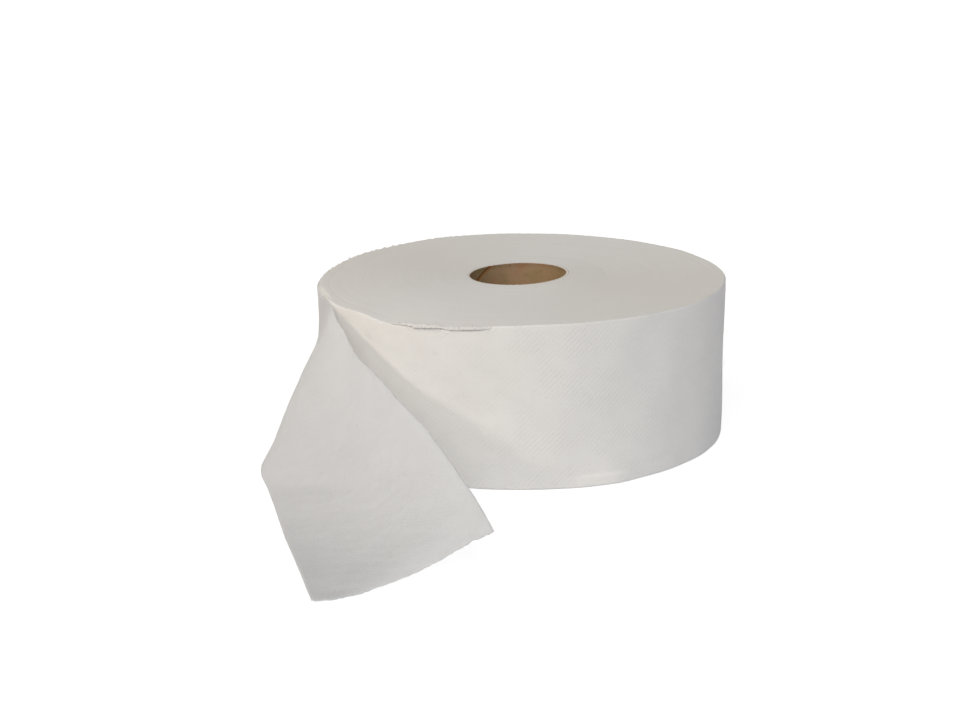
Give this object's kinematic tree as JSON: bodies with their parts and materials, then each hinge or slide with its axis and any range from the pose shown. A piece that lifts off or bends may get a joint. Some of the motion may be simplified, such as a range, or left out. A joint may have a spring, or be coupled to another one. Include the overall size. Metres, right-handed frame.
{
  "type": "jumbo toilet paper roll",
  "caption": "Wide roll of soft white tissue wound on a cardboard core, standing on a cut face with its loose end pulled out and leaning over.",
  "frame": {"origin": "on the axis of the core's bore, at the cut face that the roll stands on", "axes": "+Z along the core's axis, up; +Y away from the loose end, which leaves the roll on the -X side and runs out to -Y"},
  "size_m": [0.2777, 0.4062, 0.096],
  "materials": {
    "cardboard": "matte, unbleached spiral-wound board",
    "tissue": "matte, soft two-ply crepe with fine dot embossing"
  },
  "bodies": {
    "root": {"core": "cardboard", "paper": "tissue"}
  },
  "joints": []
}
